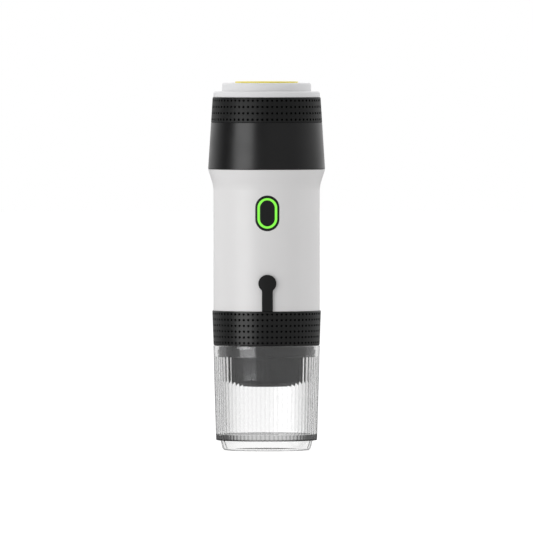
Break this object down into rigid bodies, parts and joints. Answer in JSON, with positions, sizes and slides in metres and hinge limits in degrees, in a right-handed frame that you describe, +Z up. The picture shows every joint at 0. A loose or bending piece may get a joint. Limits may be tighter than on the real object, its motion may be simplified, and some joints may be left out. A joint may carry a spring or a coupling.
{
  "type": "portable espresso maker",
  "caption": "Slim battery espresso maker: clear ribbed cup, dotted grip ring with port plug, white body with lit button, black tank section and white stepped lid.",
  "frame": {"origin": "centre of the cup's foot, on the surface that the part stands on", "axes": "+Z up along the part's axis; the button and the charging port face -Y"},
  "size_m": [0.0718, 0.0718, 0.226],
  "materials": {
    "clear_plastic": "clear, glossy",
    "white_plastic": "satin",
    "black_plastic": "semi-gloss",
    "dark_plastic": "matte",
    "black_silicone": "matte",
    "silicone": "translucent, matte",
    "yellow_plastic": "satin",
    "light_guide": "lit from behind",
    "steel": "brushed",
    "nickel": "bright",
    "bronze": "sintered",
    "magnet": "dark",
    "heater_aluminium": "cast",
    "circuit_board": "solder mask",
    "battery_cell": null
  },
  "bodies": {
    "cup": {"cup": "clear_plastic"},
    "housing": {"brew_head": "black_plastic", "head_gasket": "silicone", "shower_screen": "steel", "shower_screw": "steel", "main_body": "white_plastic", "body_screws": "steel", "grip_ring": "black_silicone", "dc_socket": "dark_plastic", "button_bezel": "black_plastic", "light_ring": "light_guide", "control_board": "circuit_board", "tact_switch": "dark_plastic", "status_leds": "light_guide", "power_parts": "dark_plastic", "lower_tray": "dark_plastic", "upper_tray": "dark_plastic", "cell_1": "battery_cell", "cell_2": "battery_cell", "cell_3": "battery_cell", "cell_links": "nickel", "pump_cushion": "silicone", "pump_cover": "dark_plastic", "pump_diaphragm": "silicone", "pump_body": "dark_plastic", "inlet_tube": "silicone", "outlet_tube": "silicone", "motor_can": "steel", "motor_cap": "dark_plastic", "motor_bushes": "bronze", "motor_magnets": "magnet", "tank_shell": "black_plastic", "grip_band": "black_silicone", "water_tank": "steel", "inlet_filter": "steel", "heater_plate": "heater_aluminium", "heater_element": "steel", "thermostat": "dark_plastic", "temperature_probe": "steel"},
    "outlet": {"outlet": "black_plastic", "crema_nozzle": "steel", "filter_basket": "steel"},
    "lid": {"tank_lid": "white_plastic", "lid_seal": "silicone", "lid_inlay": "yellow_plastic"},
    "button": {"power_button": "black_plastic", "switch_plunger": "dark_plastic"},
    "plug": {"port_plug": "black_silicone"},
    "rotor": {"motor_rotor": "magnet", "drive_cam": "dark_plastic"}
  },
  "joints": [
    {"name": "machine_lift", "type": "slide", "parent": "cup", "child": "housing", "axis": [0, 0, 1], "range_m": [0, 0.07]},
    {"name": "outlet_drop", "type": "slide", "parent": "housing", "child": "outlet", "axis": [0, 0, -1], "range_m": [0, 0.028]},
    {"name": "lid_lift", "type": "slide", "parent": "housing", "child": "lid", "axis": [0, 0, 1], "range_m": [0, 0.03]},
    {"name": "button_press", "type": "slide", "parent": "housing", "child": "button", "axis": [0, 1, 0], "range_m": [0, 0.0008], "stiffness_N_per_m": 800},
    {"name": "plug_swing", "type": "hinge", "parent": "housing", "child": "plug", "pos_m": [0, -0.03345, 0.08615], "axis": [1, 0, 0], "range_deg": [0, 100]},
    {"name": "motor_spin", "type": "hinge", "parent": "housing", "child": "rotor", "pos_m": [0, -0.008, 0.125], "axis": [0, 0, 1], "continuous": true}
  ]
}
